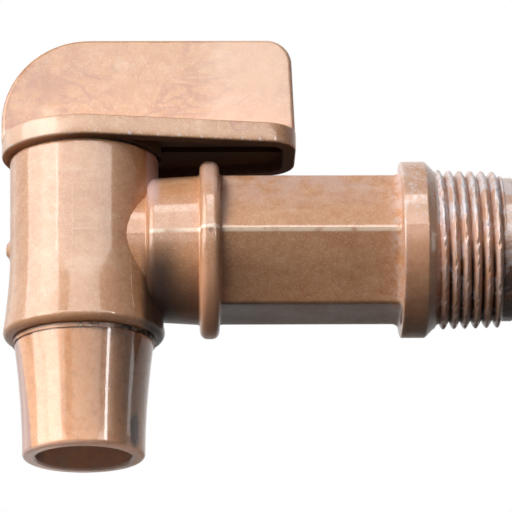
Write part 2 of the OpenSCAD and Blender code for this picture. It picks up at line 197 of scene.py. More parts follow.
def combine(piece, other, operation):
    """Joins the other closed shape to the piece, or cuts it out, and deletes it."""
    modifier = piece.modifiers.new("shape", "BOOLEAN")
    modifier.solver = "MANIFOLD"
    modifier.operation = operation
    modifier.object = other
    bpy.context.view_layer.update()
    shaped = bpy.data.meshes.new_from_object(
        piece.evaluated_get(bpy.context.evaluated_depsgraph_get()))
    piece.modifiers.clear()
    piece.data = shaped
    bpy.data.objects.remove(other)


def smooth(piece):
    """Smooth shading, with creases kept where two faces meet at more than CREASE degrees."""
    piece.data.shade_smooth()
    piece.data.set_sharp_from_angle(angle=math.radians(CREASE))


def arc(centre, radius, start, end, steps):
    """Points centre + radius (cos t, sin t), with t from start to end in degrees."""
    t = np.radians(np.linspace(start, end, steps))
    return np.stack([centre[0] + radius * np.cos(t), centre[1] + radius * np.sin(t)], axis=1)


def fine(points, step):
    """The same path with extra points, so that none lie further apart than the step."""
    points = np.array(points)
    pieces = [np.linspace(a, b, max(1, int(math.ceil(np.linalg.norm(b - a) / step))), endpoint=False)
              for a, b in zip(points[:-1], points[1:])]
    return np.concatenate(pieces + [points[-1:]])


def turns(columns):
    """Angles evenly spaced round a full turn, one for each column."""
    return np.arange(columns) * 2 * np.pi / columns


def turned(name, profile, columns=ROUND_COLUMNS, tilt=None):
    """A profile of (radius, height) turned about the vertical: the point at turn t is
    (radius cos t, radius sin t, height). A matrix may tilt it, and it is moved to the valve's axis."""
    t = turns(columns)
    radius, height = profile[:, :1], profile[:, 1:]
    rows = np.stack([radius * np.cos(t), radius * np.sin(t), height + 0 * t], axis=2)
    if tilt is not None:
        rows = rows @ np.array(tilt).T
    return skin(name, rows + (VALVE_X, 0, 0))


def barrel_skin():
    """Rows of a profile turned about the valve's axis: radius against height runs from the foot's
    rolled edge, up a flare that eases off as (1 - share)^1.6 to the waist, to the top's small round.
    The mould's gate stands out on the side away from the inlet, as h exp(-(d / r)^6) at a
    distance d from its middle."""
    flare = np.linspace(0, 1, 30)[:, None]
    side_z = BARREL_FOOT + FOOT_ROUND + flare * (WAIST_Z - BARREL_FOOT - FOOT_ROUND)
    side_r = BARREL_WAIST_R + (BARREL_FOOT_R - BARREL_WAIST_R) * (1 - flare) ** FLARE_POWER
    profile = np.concatenate([
        [[0, BARREL_FOOT]],
        arc((BARREL_FOOT_R - FOOT_ROUND, BARREL_FOOT + FOOT_ROUND), FOOT_ROUND, -90, 0, 10),
        np.concatenate([side_r, side_z], axis=1)[1:],
        fine([[BARREL_WAIST_R, WAIST_Z], [BARREL_TOP_R, BARREL_TOP - TOP_ROUND]], 0.6)[1:],
        arc((BARREL_TOP_R - TOP_ROUND, BARREL_TOP - TOP_ROUND), TOP_ROUND, 0, 90, 6)[1:],
        [[0, BARREL_TOP]]])
    t = turns(BODY_COLUMNS)
    radius, z = profile[:, :1] + 0 * t, profile[:, 1:] + 0 * t
    from_gate = np.hypot(z, BARREL_WAIST_R * (t - np.pi))
    radius = radius + GATE_HEIGHT * np.exp(-(from_gate / GATE_R) ** 6) * (radius > 1)
    return np.stack([VALVE_X + radius * np.cos(t), radius * np.sin(t), z], axis=2)


def boss_path():
    """The neck, the boss and the flange ring's rim, as (place, radius)."""
    ring_back, ring_front = RING_X - RING_W / 2, RING_X + RING_W / 2
    neck_end, boss_top, boss_end_r = BOSS_START - NECK_FILLET, BOSS_START + BOSS_ROUND, BOSS_R - BOSS_DRAFT
    foot_x, foot_r = ring_back - RING_FOOT, BOSS_R - 0.1
    return np.concatenate([
        [[0, 0], [0, NECK_R]],
        fine([[0.5, NECK_R], [neck_end, NECK_R]], 0.8),
        arc((neck_end, NECK_R + NECK_FILLET), NECK_FILLET, -90, 0, 4)[1:],
        arc((boss_top, boss_end_r - BOSS_ROUND), BOSS_ROUND, 180, 90, 12),
        fine([[boss_top + 0.3, boss_end_r], [foot_x, foot_r]], 0.8),
        arc((foot_x, foot_r + RING_FOOT), RING_FOOT, -90, 0, 5)[1:],
        arc((ring_back + RING_EDGE, RING_R - RING_EDGE), RING_EDGE, 180, 90, 10),
        arc((ring_front - RING_EDGE, RING_R - RING_EDGE), RING_EDGE, 90, 0, 10)])


def hexagon(angle):
    """Radius of a hexagon with flats at top and bottom and rounded corners, at an angle round the
    inlet axis: the flat gives HEX_R / cos(angle from its middle), and from where the corner's circle
    touches it on, the circle gives c cos b + sqrt(r^2 - (c sin b)^2), b being the angle from the
    corner. The four side flats are crowned by h (1 - (angle / 30 degrees)^2)."""
    off = np.abs(angle % (np.pi / 3) - np.pi / 6)
    to_corner = np.pi / 6 - off
    centre = (HEX_R - HEX_ROUND) / math.cos(math.pi / 6)
    touch = math.atan(centre * math.sin(math.pi / 6) / HEX_R)
    across = np.clip(HEX_ROUND ** 2 - (centre * np.sin(to_corner)) ** 2, 0, None)
    crown = HEX_CROWN * (1 - (off / (np.pi / 6)) ** 2) * np.cos(angle) ** 2
    return crown + np.where(off < touch, HEX_R / np.cos(off),
                            centre * np.cos(to_corner) + np.sqrt(across))


def hexagon_path():
    """How high the tube stands above its hexagon, as (place, height): not at all but for a fillet up
    to the flange ring and another up to the collar."""
    start, end = RING_X + RING_W / 2, REACH - COLLAR_W
    return np.concatenate([
        arc((start + RING_FILLET, RING_FILLET), RING_FILLET, 180, 270, 7),
        fine([[start + RING_FILLET + 0.1, 0.0], [end - COLLAR_FILLET - 0.1, 0.0]], 1.3),
        arc((end - COLLAR_FILLET, COLLAR_FILLET), COLLAR_FILLET, 270, 355, 9)])


def collar_path():
    """The collar's rim, from its small round to the lip at its bevel, as (place, radius)."""
    start, lip = REACH - COLLAR_W + COLLAR_ROUND, REACH + BEVEL_START - 0.2
    return np.concatenate([
        arc((start, COLLAR_R - COLLAR_ROUND), COLLAR_ROUND, 180, 90, 7),
        fine([[start + 0.2, COLLAR_R], [lip, COLLAR_R]], 0.9),
        arc((lip, COLLAR_R - COLLAR_LIP), COLLAR_LIP, 90, 45, 4)[1:]])


def thread_radius(along, t):
    """The crest cone less depth |2 d|^1.7, d being the distance from the nearest crest in pitches,
    where a crest moves on by one pitch a turn. A sum of sines wears the crests, the thread fades
    into the plain lead, and the collar's bevel wins where it stands higher."""
    pitches = (along - CREST_AT) / PITCH - (t - np.pi / 2) / (2 * np.pi)
    from_crest = np.abs(2 * (pitches - np.round(pitches)))
    wear = np.sin(9 * t + 2.1 * along) + np.sin(23 * t - 3.7 * along) + np.sin(41 * t + 5 * along)
    crest = THREAD_END_R + THREAD_END * TAPER - along * TAPER
    crest = crest - CREST_WEAR * np.clip(wear, 0, 2) * np.clip(1 - 2 * from_crest, 0, 1)
    into_lead = np.clip((along - (THREAD_END - LEAD)) / LEAD_FADE, 0, 1)
    thread = (crest - THREAD_DEPTH * from_crest ** CREST_SHAPE) * (1 - into_lead) + LEAD_R * into_lead
    return np.maximum(thread, COLLAR_R - (along - BEVEL_START))


def mouth_path():
    """The lead's rounded lip and the flat end, closed on the axis, as (place, radius)."""
    lip = arc((THREAD_END - LEAD_ROUND, LEAD_R - LEAD_ROUND), LEAD_ROUND, 90, 0, 5)[1:]
    return np.concatenate([lip, [[THREAD_END, 0.6 * LEAD_R], [THREAD_END, 0]]]) + (REACH, 0)


def inlet_skin():
    """Rows along the inlet axis, each a ring round it at angles t, with the radius that the paths
    give. On the spanner hexagon that is added to the hexagon's own. Short of the thread the mould's
    ridge h exp(-(z / w)^2) stands on both sides, held within the flange ring's radius."""
    t = turns(BODY_COLUMNS)

    def rings(path, base=0.0):
        return path[:, :1] + 0 * t, base + path[:, 1:] + 0 * t

    along = np.linspace(BEVEL_START / 2, THREAD_END - LEAD_ROUND, THREAD_ROWS)[:, None] + 0 * t
    parts = [rings(boss_path()), rings(hexagon_path(), hexagon(t)), rings(collar_path()),
             (REACH + along, thread_radius(along, t)), rings(mouth_path())]
    x, radius = (np.concatenate(values) for values in zip(*parts))
    ridge = RIDGE * np.exp(-(radius * np.sin(t) / RIDGE_W) ** 2) * (radius > 1) * (x <= RIDGE_END)
    radius = np.minimum(radius + ridge, RING_R)
    return np.stack([x + VALVE_X, radius * np.cos(t), radius * np.sin(t)], axis=2)


def capped(rings):
    """The rings with one more at each end, a single point in the middle of the last."""
    ends = [np.repeat(rings[i].mean(axis=0, keepdims=True), rings.shape[1], axis=0)[None]
            for i in (0, -1)]
    return np.concatenate([ends[0], rings, ends[1]])


def stop_notch():
    """Rings along an arc about the valve's axis: at turn t each one is a rectangle, from NOTCH_IN to
    NOTCH_OUT in radius and NOTCH_LOW to NOTCH_HIGH in height."""
    t = np.radians(np.linspace(NOTCH_START, NOTCH_END, 37))[:, None]
    radius = np.array([NOTCH_IN, NOTCH_OUT, NOTCH_OUT, NOTCH_IN])
    z = np.array([NOTCH_LOW, NOTCH_LOW, NOTCH_HIGH, NOTCH_HIGH])
    return capped(np.stack([VALVE_X + radius * np.cos(t), radius * np.sin(t), z + 0 * t], axis=2))


ALONG_X = ((0, 0, 1), (1, 0, 0), (0, 1, 0))
inlet_end = REACH + THREAD_END
seat_top_r = SEAT_R - (WASHER_Z - BARREL_FOOT) * SEAT_TAPER
mouth_r = BORE_R + BORE_CHAMFER + 0.1
body = skin("tap_body_moulding", barrel_skin(), "body")
combine(body, skin("inlet", inlet_skin()), "UNION")
combine(body, turned("seat", fine([
    [0, BARREL_FOOT - SPARE / 2], [SEAT_R, BARREL_FOOT - SPARE / 2], [SEAT_R, BARREL_FOOT],
    [seat_top_r, WASHER_Z], [WASHER_HOLE_R, WASHER_Z],
    [WASHER_HOLE_R, BARREL_TOP + SPARE], [0, BARREL_TOP + SPARE]], 3.0)), "DIFFERENCE")
combine(body, turned("bore", np.array([
    [0, BARREL_WAIST_R], [BORE_R, BARREL_WAIST_R], [BORE_R, inlet_end - BORE_CHAMFER],
    [mouth_r, inlet_end + 0.1], [mouth_r, inlet_end + SPARE],
    [0, inlet_end + SPARE]]), tilt=ALONG_X), "DIFFERENCE")
combine(body, turned("port", np.array([
    [0, 0], [PORT_R, 0], [PORT_R, BARREL_WAIST_R + SPARE],
    [0, BARREL_WAIST_R + SPARE]]), 64, ALONG_X), "DIFFERENCE")
combine(body, skin("stop_notch", stop_notch()), "DIFFERENCE")
smooth(body)
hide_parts("tap_body")

# Materials are written as expressions: Socket wraps one output of a node tree, and maths on it
# adds the Math nodes. Surface holds one material and makes every other kind of node.


class Socket:
    """One number or colour inside a material, with its maths written as Python."""

    def __init__(self, surface, output):
        self.surface = surface
        self.output = output

    def maths(self, operation, first, second):
        """A Math node on two numbers or sockets."""
        return self.surface.node("ShaderNodeMath", {"operation": operation}, {0: first, 1: second})

    def __add__(self, other):
        return self.maths("ADD", self, other)

    def __radd__(self, other):
        return self.maths("ADD", other, self)

    def __sub__(self, other):
        return self.maths("SUBTRACT", self, other)

    def __rsub__(self, other):
        return self.maths("SUBTRACT", other, self)

    def __mul__(self, other):
        return self.maths("MULTIPLY", self, other)

    def __rmul__(self, other):
        return self.maths("MULTIPLY", other, self)

    def __pow__(self, other):
        return self.maths("POWER", self, other)

    def over(self, other):
        """The larger of the two."""
        return self.maths("MAXIMUM", self, other)

    def ramp(self, low, high):
        """0 below low, 1 above high and a smooth curve between them; low above high turns it round."""
        return self.surface.node("ShaderNodeMapRange", {"interpolation_type": "SMOOTHSTEP"},
                                 {"Value": self, "From Min": low, "From Max": high})

    def band(self, rise, full, fall, end):
        """0 up to rise, 1 from full to fall and 0 again past end."""
        return self.ramp(rise, full) * self.ramp(end, fall)

    def near(self, value, inner, outer):
        """1 within inner of the value and 0 beyond outer."""
        return self.maths("ABSOLUTE", self - value, 0.0).ramp(outer, inner)


class Surface:
    """One material: a Principled shader, the nodes that feed it and its colour so far. place is
    where a point lies on the piece, in metres; x, y and z are the same in millimetres."""

    def __init__(self, name, colour):
        self.material = bpy.data.materials.new(name)
        self.material.use_nodes = True
        self.tree = self.material.node_tree
        self.shader = self.tree.nodes["Principled BSDF"]
        self.output = self.tree.nodes["Material Output"]
        self.colour = colour
        self.place = self.node("ShaderNodeTexCoord", {}, {}, output="Object")
        self.x, self.y, self.z = (
            self.node("ShaderNodeSeparateXYZ", {}, {0: self.place}, output=axis) * (1 / MM)
            for axis in "XYZ")

    def feed(self, target, value):
        """Links a socket to a node's input, or sets the input to a plain value."""
        if isinstance(value, Socket):
            self.tree.links.new(value.output, target)
        else:
            target.default_value = value

    def node(self, kind, settings, sockets, output=0):
        """A node of any kind: its settings first, then its sockets' values or links."""
        made = self.tree.nodes.new(kind)
        for name, value in settings.items():
            setattr(made, name, value)
        for key, value in sockets.items():
            self.feed(made.inputs[key], value)
        return Socket(self, made.outputs[output])

    def stretched(self, scale):
        """The place on the piece, stretched by a factor along each axis."""
        return self.node("ShaderNodeVectorMath", {"operation": "MULTIPLY"}, {0: self.place, 1: scale})

    def distance(self, point, place=None):
        """How far the place is from a point, both in millimetres."""
        away = self.node("ShaderNodeVectorMath", {"operation": "DISTANCE"},
                         {0: place or self.place, 1: [value * MM for value in point]}, output="Value")
        return away * (1 / MM)

    def noise(self, scale, detail=2.0, roughness=0.5, place=None, warp=0.0):
        """Cloudy noise from 0 to 1, with its grain about 1/scale metres wide."""
        return self.node("ShaderNodeTexNoise", {},
                         {"Vector": place or self.place, "Scale": scale, "Detail": detail,
                          "Roughness": roughness, "Distortion": warp})

    def mix(self, amount, first, second):
        """The first colour at amount 0, the second at amount 1."""
        return self.node("ShaderNodeMix", {"data_type": "RGBA"},
                         {0: amount, 6: first, 7: second}, output=2)

    def paint(self, amount, colour):
        """Lays a colour over the surface's colour so far, as much as the amount says."""
        self.colour = self.mix(amount, self.colour, colour)

    def bump(self, height, distance):
        """Turns a height from 0 to 1 into a normal, for that many metres of relief."""
        return self.node("ShaderNodeBump", {}, {"Height": height, "Distance": distance})

    def set(self, **sockets):
        """Sets the shader's sockets, such as Coat_Weight=0.2."""
        for name, value in sockets.items():
            self.feed(self.shader.inputs[name.replace("_", " ")], value)

    def cover(self, *pieces):
        """Puts the material, with its colour so far, on pieces in place of what they had."""
        self.set(Base_Color=self.colour)
        for piece in pieces:
            piece.data.materials.clear()
            piece.data.materials.append(self.material)


def rgb(red, green, blue):
    """A colour given in screen values from 0 to 255, as linear light."""
    shares = np.array([red, green, blue]) / 255.0
    linear = np.where(shares <= 0.04045, shares / 12.92, ((shares + 0.055) / 1.055) ** 2.4)
    return (*linear.tolist(), 1.0)


def from_axis(first, second):
    """The distance from an axis, given the two offsets from it."""
    return (first * first + second * second) ** 0.5


def round_valve(surface):
    """The angle round the valve's axis in radians, 0 at the front and positive towards the inlet."""
    return surface.x.maths("ARCTAN2", surface.x + REACH, surface.y * -1.0)


COPPER = rgb(203, 147, 105)
COPPER_DEEP = rgb(164, 98, 56)
COPPER_PALE = rgb(244, 212, 180)
SCUFFED = rgb(226, 214, 212)
COAT = 0.45
RELIEF = 0.04 * MM


def pigment(name, body_colour, deep_colour, pale_colour, flow, streaks, roughness, coat_roughness):
    """Copper-pigmented polyethylene: the body colour, clouded towards the deep one, with pale and
    deep streaks drawn out along the melt's flow, and mica flakes a fifth of a millimetre wide.
    Returns the surface and its grain, which is a height."""
    plastic = Surface(name, body_colour)
    clouds = plastic.noise(95.0, 3.0, 0.55).ramp(0.38, 0.68)
    mottle = plastic.noise(620.0, 3.0, 0.6)
    drawn = plastic.noise(1.0, 4.0, 0.6, place=plastic.stretched(flow), warp=0.3)
    flakes = plastic.noise(4200.0, 1.0, 0.6)
    specks = plastic.noise(2300.0, 2.0, 0.6)
    plastic.paint(clouds * 0.16, deep_colour)
    plastic.paint(mottle.ramp(0.5, 0.68) * 0.24, deep_colour)
    plastic.paint(mottle.ramp(0.5, 0.34) * 0.1, pale_colour)
    plastic.paint(drawn.ramp(0.52, 0.72) * streaks, deep_colour)
    plastic.paint(drawn.ramp(0.46, 0.3) * streaks * 0.7, pale_colour)
    plastic.paint(flakes.ramp(0.52, 0.74) * 0.4, pale_colour)
    plastic.paint(specks.ramp(0.46, 0.28) * 0.2, deep_colour)
    plastic.set(Roughness=roughness + (clouds - 0.5) * 0.06 + (flakes - 0.5) * 0.1, IOR=1.45,
                Specular_IOR_Level=0.2, Coat_Weight=COAT, Coat_Roughness=coat_roughness)
    grain = plastic.noise(700.0, 2.0, 0.5) + plastic.noise(160.0, 1.0, 0.5) * 2.0 + flakes * 0.35
    return plastic, grain


def faces_of(piece):
    """Every face's outward normal, and its middle in millimetres."""
    found = []
    for what in ("normal", "center"):
        values = np.empty(len(piece.data.polygons) * 3)
        piece.data.polygons.foreach_get(what, values)
        found.append(values.reshape(-1, 3))
    return found[0], found[1] / MM


def looks_down(normals):
    """How far faces look down, from 0 for a level look to 1: (-z - 0.35) / 0.5, held to 0 and 1."""
    return np.clip((-normals[:, 2] - 0.35) / 0.5, 0, 1)


def face_mask(piece, surface, name, values):
    """Writes one number per face into the piece, and returns it as the surface reads it."""
    piece.data.attributes.new(name, "FLOAT", "FACE").data.foreach_set("value", values.astype(np.float32))
    return surface.node("ShaderNodeAttribute", {"attribute_name": name}, {}, output="Fac")


body_plastic, body_grain = pigment("body_plastic", COPPER, COPPER_DEEP, COPPER_PALE,
                                   flow=(60.0, 240.0, 240.0), streaks=0.25, roughness=0.36,
                                   coat_roughness=0.09)
x, y, z = body_plastic.x, body_plastic.y, body_plastic.z
from_boss = x - (VALVE_X + BOSS_START)
from_ring = x - (VALVE_X + RING_X)
from_collar = x + COLLAR_W
from_inlet_axis = from_axis(y, z)
below_crest = THREAD_END_R + THREAD_END * TAPER - x * TAPER - from_inlet_axis

# Dust lies on the inlet from above. The crook between barrel and boss is painted dark below the axis, as
# painted shade, and the neck's top is painted pale, partly dust and partly painted light. The flange ring's
# lower half is painted lighter, as painted bounce light from below.
dust = from_ring.ramp(-2.1, -0.6) * z.ramp(1, 11) * body_plastic.noise(260.0, 3.0, 0.65).ramp(0.3, 0.6)
body_plastic.paint(dust * 0.4, rgb(220, 196, 192))
# Painted shade: the crook between barrel and boss is darkened below the axis.
crook_shade = from_boss.band(-1.3, 0.1, 2.4, 6.9) * z.ramp(1, -7)
body_plastic.paint(crook_shade * 0.85, rgb(40, 34, 34))
# Partly dust, partly painted light: the neck's top is painted pale.
neck_dust_and_light = from_boss.band(-0.3, 0.3, 1.3, 2.7) * z.ramp(2, 8)
body_plastic.paint(neck_dust_and_light * 0.5, rgb(222, 198, 206))
on_ring = from_ring.near(0, 1.5, 2.1)
# Painted bounce light: the flange ring's lower half is painted lighter.
body_plastic.paint(on_ring * z.ramp(-3, -10) * 0.8, rgb(255, 190, 150))

# The thread's crests are scuffed pale where it was screwed in and take a painted highlight along them, more
# so on top. The roots are darkened, partly dirt and partly painted shade, and painted shade turns them black
# below; a dull film lies over all of it.
on_thread = x.ramp(-0.1, 0.3)
rubbed = body_plastic.noise(420.0, 3.0, 0.65).ramp(0.36, 0.56)
chips = body_plastic.noise(1500.0, 2.0, 0.7).ramp(0.42, 0.6)
run_place = body_plastic.stretched((1300.0, 200.0, 200.0))
run = body_plastic.noise(1.0, 3.0, 0.65, place=run_place).ramp(0.45, 0.53)
# Partly wear, partly a painted highlight: pale runs along the crests, stronger on top.
crest_scuff_and_highlight = on_thread * below_crest.ramp(0.9, 0.2) * run * (0.45 + rubbed * 0.35 + chips * 0.2)
crest_scuff_and_highlight = crest_scuff_and_highlight * (z.ramp(-13, -1) * 0.6 + 0.4)
# Partly dirt, partly painted shade: the thread's roots are darkened.
root_dirt_and_shade = on_thread * below_crest.band(0.6, 1.3, 2, 3)
body_plastic.paint(root_dirt_and_shade * 0.35, rgb(110, 66, 40))
dull = on_thread * (z.ramp(-4, 8) * 0.4 + 0.6) * body_plastic.noise(300.0, 3.0, 0.65).ramp(0.25, 0.55)
body_plastic.paint(dull * 0.5, rgb(206, 186, 180))
# Painted shade: the roots below the axis are painted nearly black.
low_root_shade = on_thread * below_crest.band(0.3, 0.8, 2, 3) * z.ramp(-0.5, -6.5)
body_plastic.paint(low_root_shade * 0.96, rgb(18, 15, 15))
smeared = on_thread * below_crest.ramp(1.5, 0.7) * body_plastic.noise(300.0, 3.0, 0.7).ramp(0.5, 0.6)
body_plastic.paint(crest_scuff_and_highlight.over(smeared * 0.75), rgb(228, 224, 228))

# Handling has scuffed the collar's upper side and the hexagon's end beside it. From the collar on, the lower
# side is blotched, and what stands high there is painted a lighter orange.
past_collar = from_collar.ramp(-0.7, 0.5)
collar_scuff = past_collar * x.ramp(0.6, -0.6) * body_plastic.noise(900.0, 3.0, 0.7).ramp(0.5, 0.66)
body_plastic.paint(collar_scuff * z.ramp(-1, 4) * 0.6, SCUFFED)
blotches = (past_collar * body_plastic.noise(330.0, 3.0, 0.65)).ramp(0.5, 0.62)
body_plastic.paint(blotches * z.ramp(3, -2) * 0.35, rgb(150, 84, 44))
# The lower side is painted a lighter orange where it stands high.
low_side_lighter = past_collar * z.ramp(3.5, -2) * below_crest.ramp(1.2, 0.6)
body_plastic.paint(low_side_lighter * 0.45, rgb(240, 176, 138))
facet_scuff = from_collar.band(-3, -0.7, -0.1, 1) * body_plastic.noise(500.0, 3.0, 0.7).ramp(0.4, 0.62)
body_plastic.paint(facet_scuff * 0.35, SCUFFED)

# The parting line is rubbed pale along the boss and the hexagon's front corner, and is partly a painted
# highlight on that corner. An ejector pin has left a pit beside it on the ring.
parting_line_and_highlight = z.near(-0.3, 0.1, 0.5) * from_boss.ramp(0.1, 1.1) * from_collar.ramp(0, -1)
parting_line_and_highlight = parting_line_and_highlight * body_plastic.noise(240.0, 2.0, 0.6).ramp(0.28, 0.5)
# Partly wear, partly a painted highlight along the hexagon's front corner.
body_plastic.paint(parting_line_and_highlight * 0.9, rgb(255, 232, 206))
PIT_AT = (VALVE_X + RING_X + 0.2, -RING_R, -1.1)
pit = body_plastic.distance(PIT_AT).ramp(0.5, 0.25)
body_plastic.paint(pit * 0.6, rgb(120, 88, 70))

# The mould's inserts leave fine pale lines on the barrel, beside the neck, each at an angle round
# the valve's axis.
beside = round_valve(body_plastic)
insert_line = beside.near(math.radians(39), 0.003, 0.011) * z.band(-13.5, -13, -4, -3.5)
insert_line = insert_line * body_plastic.noise(700.0, 2.0, 0.6).ramp(0.35, 0.5)
witness_line = beside.near(math.radians(-8), 0.002, 0.008) * z.band(-6.5, -6, 8, 8.5)
seam_line = beside.near(math.radians(4), 0.2, 0.24) * z.near(0, 0.05, 0.18)
lines = insert_line + witness_line * 0.4 + seam_line * 0.4
body_plastic.paint(lines * 0.6, COPPER_PALE)

# What looks down is painted darker, as painted shade, and its coat is dulled. The painted shade is darkest
# under the boss, fades out along the hexagon, and is thin on the flange ring.
painted_shade = face_mask(body, body_plastic, "painted_shade", looks_down(faces_of(body)[0])) * from_boss.ramp(0.1, 0.9)
painted_shade_depth = 0.15 + from_ring.ramp(19.4, 3.4) * (1 - on_ring) * 0.6
body_plastic.paint(painted_shade * painted_shade_depth, rgb(60, 42, 34))
body_height = body_grain + lines * 1.5 + chips * crest_scuff_and_highlight * 2.0 - pit * 4.0
body_plastic.set(Coat_Weight=COAT - painted_shade * 0.42, Normal=body_plastic.bump(body_height, RELIEF))
body_plastic.cover(body)

# Spout and plug
# The spout, the ledge under the barrel and the hollow tapered plug inside it are one moulding,
# pushed in from below. Its tool was polished, so it shines more than the body.
LEDGE_R = 11.9
LEDGE_LOW = -16.9
TIP_Z = plug_low.z / MM
DROP_SQUEEZE = 0.4
DROP_AT = (VALVE_X + 8.4, -5.6, -32.4 * DROP_SQUEEZE)

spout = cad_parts["spout_plug"]
spout_plastic, spout_grain = pigment("spout_plastic", rgb(240, 172, 122), COPPER_DEEP, COPPER_PALE,
                                     flow=(240.0, 240.0, 40.0), streaks=0.3, roughness=0.24,
                                     coat_roughness=0.05)
z = spout_plastic.z
ahead = spout_plastic.x + REACH
from_valve = from_axis(ahead, spout_plastic.y)

# A mauve band is painted down the side away from the inlet, widening downwards, and a drop has left a dark
# stain near the tip. The tip's rim is painted pale, partly wear and partly painted light from below.
round_spout = round_valve(spout_plastic)
# A mauve band painted down the side away from the inlet, widening downwards.
side_band_edge = round_spout + math.radians(68) + (z + 17) * 0.011
side_band = side_band_edge.ramp(0.05, -0.03) * round_spout.ramp(-2.3, -2.0)
spout_plastic.paint(side_band * 0.8, rgb(164, 122, 112))
drop = spout_plastic.distance(DROP_AT, spout_plastic.stretched((1.0, 1.0, DROP_SQUEEZE)))
drop = (drop + spout_plastic.noise(700.0, 2.0, 0.5) * 1.2).ramp(2.2, 1.4)
spout_plastic.paint(drop * 0.85, rgb(38, 26, 24))
# Partly wear, partly painted light from below: the tip's rim is painted pale.
rim_wear_and_light = z.ramp(TIP_Z + 0.7, TIP_Z + 0.3)
spout_plastic.paint(rim_wear_and_light * 0.5, rgb(236, 206, 196))

# The ledge's edge is painted dark, as painted shade under the barrel's foot, most of all towards the inlet,
# with ragged flash left on it in front and on that side. The bore is painted pale, partly a film left by
# what was drawn and partly painted light in its unlit inside.
aside = ahead.ramp(4.9, 6.9)
ledge = from_valve.ramp(LEDGE_R - 0.2, LEDGE_R - 0.05) * z.ramp(LEDGE_LOW, LEDGE_LOW + 0.4)
# Painted shade: the ledge's edge is painted dark, most of all towards the inlet.
spout_plastic.paint(ledge * (0.35 + aside * 0.6), rgb(34, 22, 16))
flash = ahead.band(-1.4, -0.8, 2.2, 2.8).over(aside * 0.6)
flash = ledge * flash * spout_plastic.noise(900.0, 3.0, 0.7).ramp(0.5, 0.62)
spout_plastic.paint(flash, rgb(226, 206, 180))
# Partly a film, partly painted light: the bore is painted pale.
bore_film_and_light = from_valve.ramp(8.6, 8.3) * z.ramp(-14, -20) * spout_plastic.noise(300.0, 3.0, 0.6)
spout_plastic.paint(bore_film_and_light * 0.9, rgb(196, 184, 184))
spout_plastic.set(Coat_Weight=COAT - ledge * 0.43,
                  Normal=spout_plastic.bump(spout_grain + flash * 3.0, RELIEF))
spout_plastic.cover(spout)

# Thrust washer and seal rings
# A natural nylon washer carries the handle on the barrel's top, and two rubber rings sit squeezed
# in the plug's grooves. All three are bought-in parts.
washer_plastic = Surface("washer_plastic", rgb(226, 216, 196))
washer_plastic.paint(washer_plastic.noise(600.0) * 0.5, rgb(198, 186, 164))
washer_plastic.set(Roughness=0.45)
washer_plastic.cover(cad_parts["thrust_washer"])
seal_rubber = Surface("seal_rubber", rgb(24, 24, 25))
seal_rubber.paint(seal_rubber.noise(900.0), rgb(46, 45, 44))
seal_rubber.set(Roughness=0.6)
seal_rubber.cover(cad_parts["upper_seal_ring"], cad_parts["lower_seal_ring"])

# Handle
# A pear-shaped plate with a finger grip standing on it, moulded in one from a paler, badly mixed
# batch that shows its swirls. It snaps over the plug's tang; plate and grip are cored from below.
handle_low, handle_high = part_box("handle")
PLATE_LOW = handle_low.z / MM
GRIP_TOP = handle_high.z / MM
DISC_R = VALVE_X - handle_low.x / MM
HANDLE_REACH = handle_high.x / MM - VALVE_X

# Plate, with the tray and the hub under it
PLATE_H = 3.6
PLATE_TOP = PLATE_LOW + PLATE_H
PLATE_MIDDLE = (4.0, 0.0)
PLATE_END_HALF = 9.3
PLATE_CORNER_R = 5.4
PLATE_LOWER_ROUND = 0.45
PLATE_UPPER_ROUND = 0.5
TRAY_H = 1.8
TRAY_RIM = 2.1
TRAY_ROUND = 0.3
HUB_R = 13.0

# Grip
GRIP_SINK = 1.6
GRIP_MIDDLE = (10.0, GRIP_TOP - 7.0)
GRIP_FOOT_HALF = 3.1
GRIP_TOP_HALF = 2.6
GRIP_EDGE = 0.8
GRIP_BACK_R = 14.8
GRIP_NOSE_R = 4.3
GRIP_LEAN = 0.5
GRIP_FILLET = 0.8
GRIP_FOOT_R = 0.9

# Core, and the tang's pocket with room for its barbs
CORE_HALF = 1.4
CORE_WALL = 2.4
TANG_HALF = 7.1
TANG_THICK_HALF = 1.5
TANG_TOP = 26.5
BARB = 0.5
BARB_LOW = 22.6
BARB_HIGH = 26.0
POCKET_LOW = PLATE_LOW - 2.0
POCKET_EDGE = 0.01


def round_outline(circles, turn_step=5.0, line_step=1.2):
    """The outline round a set of circles (x, y, radius), taken counterclockwise: arcs joined by
    tangents. From circle i to j the outward normal lies at the direction's angle less
    acos((ri - rj) / distance). Returns points and outward normals."""
    count = len(circles)
    normals = []
    for (x0, y0, r0), (x1, y1, r1) in zip(circles, circles[1:] + circles[:1]):
        normals.append(math.atan2(y1 - y0, x1 - x0) - math.acos((r0 - r1) / math.hypot(x1 - x0, y1 - y0)))
    points, outs = [], []
    for i, (cx, cy, r) in enumerate(circles):
        start = normals[i - 1]
        span = (normals[i] - start) % (2 * math.pi)
        t = start + np.linspace(0, span, max(2, int(math.degrees(span) / turn_step) + 1))
        out = np.stack([np.cos(t), np.sin(t)], axis=1)
        points.append(np.array([cx, cy]) + r * out)
        outs.append(out)
        nx, ny, nr = circles[(i + 1) % count]
        a, b = points[-1][-1], np.array([nx, ny]) + nr * out[-1]
        steps = int(np.linalg.norm(b - a) / line_step)
        share = (np.arange(1, steps) / steps)[:, None] if steps > 1 else np.zeros((0, 1))
        points.append(a + share * (b - a))
        outs.append(np.repeat(out[-1:], len(share), axis=0))
    return np.concatenate(points), np.concatenate(outs)


def edge(radius):
    """(inset, drop) along a quarter-round edge, from the flat to the side."""
    t = np.radians(np.linspace(0, 90, 6))
    return np.stack([radius * (1 - np.sin(t)), radius * (1 - np.cos(t))], axis=1)


